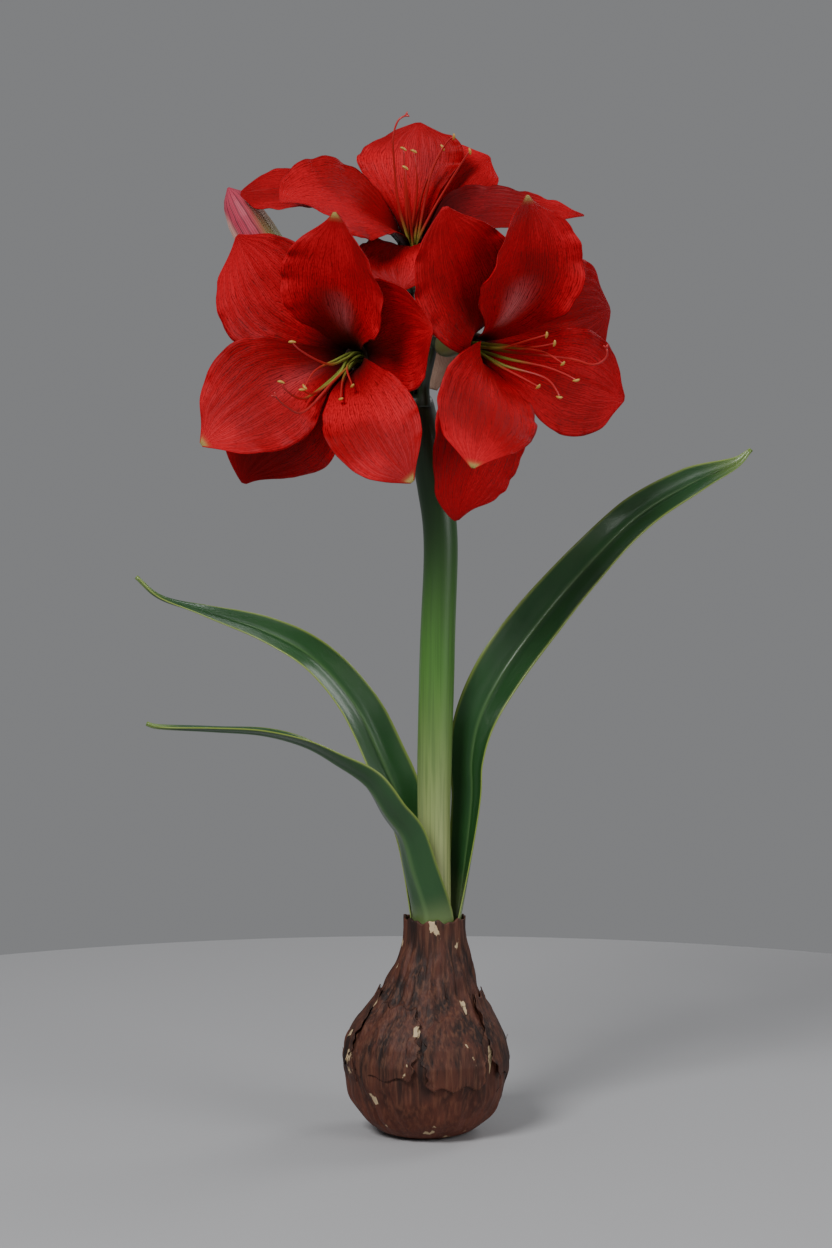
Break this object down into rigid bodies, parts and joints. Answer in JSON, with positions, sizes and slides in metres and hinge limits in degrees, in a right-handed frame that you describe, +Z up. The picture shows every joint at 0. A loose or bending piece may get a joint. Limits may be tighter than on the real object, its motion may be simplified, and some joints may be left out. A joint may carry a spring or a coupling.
{
  "type": "amaryllis flower with bulb",
  "caption": "Amaryllis plant in flower standing on its bare bulb: upright stem with open red trumpet flowers and a bud, arching strap leaves and a papery brown bulb.",
  "frame": {"origin": "middle of the flat base that the bulb stands on", "axes": "+Z up along the flower stem; the flowers face -Y and the leaves spread along X"},
  "size_m": [0.3835, 0.1892, 0.6235],
  "materials": {
    "tepal_red": "velvety, dark fine veins, paler streaks at the throat, green-yellow tips on some tepals",
    "filament": "satin, yellow-green at the base and red further out, with yellow pollen on the anthers",
    "leaf_green": "glossy dark green with lighter lengthwise bands and a pale margin",
    "stem_green": "smooth satin green, fading to cream at the foot",
    "bud": "magenta stripes over yellow-green",
    "bract_paper": "dry brownish-pink with dark stripes",
    "tunic_brown": "dry papery dark brown with upright fibres and cream torn spots"
  },
  "bodies": {
    "root": {"bulb": "tunic_brown", "front_left_flake": "tunic_brown", "front_right_flake": "tunic_brown", "right_flake": "tunic_brown", "back_flake": "tunic_brown", "left_flake": "tunic_brown", "scape": "stem_green", "upper_left_leaf": "leaf_green", "lower_left_leaf": "leaf_green", "right_leaf": "leaf_green", "bract_1": "bract_paper", "bract_2": "bract_paper", "bud_pedicel": "stem_green", "bud": "bud", "left_pedicel": "stem_green", "left_tube": "stem_green", "left_inner_tepal_1": "tepal_red", "left_inner_tepal_2": "tepal_red", "left_inner_tepal_3": "tepal_red", "left_outer_tepal_1": "tepal_red", "left_outer_tepal_2": "tepal_red", "left_outer_tepal_3": "tepal_red", "left_stamen_1": "filament", "left_stamen_2": "filament", "left_stamen_3": "filament", "left_stamen_4": "filament", "left_stamen_5": "filament", "left_stamen_6": "filament", "left_style": "filament", "right_pedicel": "stem_green", "right_tube": "stem_green", "right_inner_tepal_1": "tepal_red", "right_inner_tepal_2": "tepal_red", "right_inner_tepal_3": "tepal_red", "right_outer_tepal_1": "tepal_red", "right_outer_tepal_2": "tepal_red", "right_outer_tepal_3": "tepal_red", "right_stamen_1": "filament", "right_stamen_2": "filament", "right_stamen_3": "filament", "right_stamen_4": "filament", "right_stamen_5": "filament", "right_stamen_6": "filament", "right_style": "filament", "top_pedicel": "stem_green", "top_tube": "stem_green", "top_inner_tepal_1": "tepal_red", "top_inner_tepal_2": "tepal_red", "top_inner_tepal_3": "tepal_red", "top_outer_tepal_1": "tepal_red", "top_outer_tepal_2": "tepal_red", "top_outer_tepal_3": "tepal_red", "top_stamen_1": "filament", "top_stamen_2": "filament", "top_stamen_3": "filament", "top_stamen_4": "filament", "top_stamen_5": "filament", "top_stamen_6": "filament", "top_style": "filament"}
  },
  "joints": []
}
